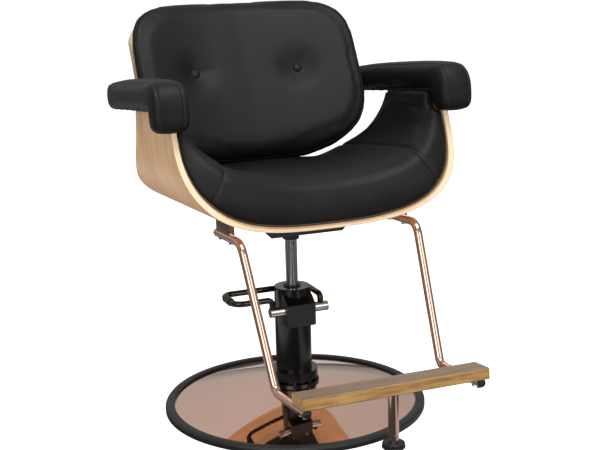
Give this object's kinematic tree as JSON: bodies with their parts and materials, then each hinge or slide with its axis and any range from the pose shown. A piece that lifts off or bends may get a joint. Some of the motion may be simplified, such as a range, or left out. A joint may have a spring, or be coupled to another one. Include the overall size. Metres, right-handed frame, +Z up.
{
  "type": "hairdressing chair",
  "caption": "Hairdressing chair with a bent plywood bucket seat, padded arms and back, on a foot-pumped hydraulic column with a round base and a plank footrest.",
  "frame": {"origin": "on the column's axis, at the floor", "axes": "+Z up, -Y where the sitter looks, +X to the sitter's left"},
  "size_m": [0.6692, 0.9102, 0.8588],
  "materials": {
    "rubber": "satin",
    "rose_chrome": "polished",
    "chrome": "polished",
    "black_steel": "satin",
    "raw_steel": "satin",
    "iron": "matt",
    "bronze": "satin",
    "veneer": "satin",
    "board": "matt",
    "plank_wood": "satin",
    "leather": "soft sheen",
    "piping": "soft sheen",
    "plastic": "matt"
  },
  "bodies": {
    "base": {"base_plate": "black_steel", "base_rim": "rubber", "base_hub": "iron", "base_cover": "rose_chrome", "column_flange": "black_steel", "flange_washers": "chrome", "flange_bolts": "chrome", "pump_tube": "black_steel", "pump_head": "black_steel", "head_cap": "iron", "guide_bush": "bronze", "ram_wiper": "rubber", "plunger_spring": "raw_steel"},
    "pedal": {"pedal_shaft": "chrome", "pedal_cam": "raw_steel", "shaft_sleeves": "chrome", "sleeve_screws": "black_steel", "pedal_rod": "black_steel", "pedal_grip": "rubber"},
    "plunger": {"pump_plunger": "raw_steel"},
    "piston": {"piston": "raw_steel", "piston_seal": "rubber", "thrust_washer": "bronze"},
    "foot": {"foot_stem": "chrome", "foot_pad": "rubber"},
    "seat": {"ram": "chrome", "seat_collar": "raw_steel", "collar_pin": "raw_steel", "seat_plate": "black_steel", "plate_spacers": "rubber", "seat_bolts": "black_steel", "shell_inserts": "bronze", "seat_shell": "veneer", "padding_board": "board", "seat_cushion": "leather", "side_cushion_left": "leather", "side_cushion_right": "leather", "seat_piping": "piping", "arm_bracket_left": "black_steel", "arm_bracket_right": "black_steel", "bracket_screws": "raw_steel", "arm_pad_left": "leather", "arm_pad_right": "leather", "back_shell": "veneer", "back_cushion": "leather", "back_buttons": "leather", "footrest_tube_left": "rose_chrome", "footrest_tube_right": "rose_chrome", "tube_domes": "rose_chrome", "tube_plugs": "plastic", "tube_standoffs": "rose_chrome", "tube_screws": "chrome", "footrest_plank": "plank_wood", "plank_screws": "chrome", "footrest_post": "rose_chrome", "post_screw": "chrome"}
  },
  "joints": [
    {"name": "lift", "type": "slide", "parent": "base", "child": "piston", "axis": [0, 0, 1], "range_m": [-0.08, 0.04]},
    {"name": "swivel", "type": "hinge", "parent": "piston", "child": "seat", "pos_m": [0, 0, 0], "axis": [0, 0, 1], "continuous": true},
    {"name": "pedal_hinge", "type": "hinge", "parent": "base", "child": "pedal", "pos_m": [0, -0.036, 0.224], "axis": [1, 0, 0], "range_deg": [-22, 0], "stiffness_Nm_per_rad": 2, "springref_deg": 17.19},
    {"name": "plunger_slide", "type": "slide", "parent": "base", "child": "plunger", "axis": [0, 0, 1], "range_m": [-0.0047, 0], "deforming": ["plunger_spring"]},
    {"name": "foot_adjust", "type": "slide", "parent": "seat", "child": "foot", "axis": [0, 0, 1], "range_m": [-0.005, 0.004]}
  ],
  "couplings": [
    {"joint": "plunger_slide", "follows": "pedal_hinge", "m_per_rad": 0.0117}
  ]
}
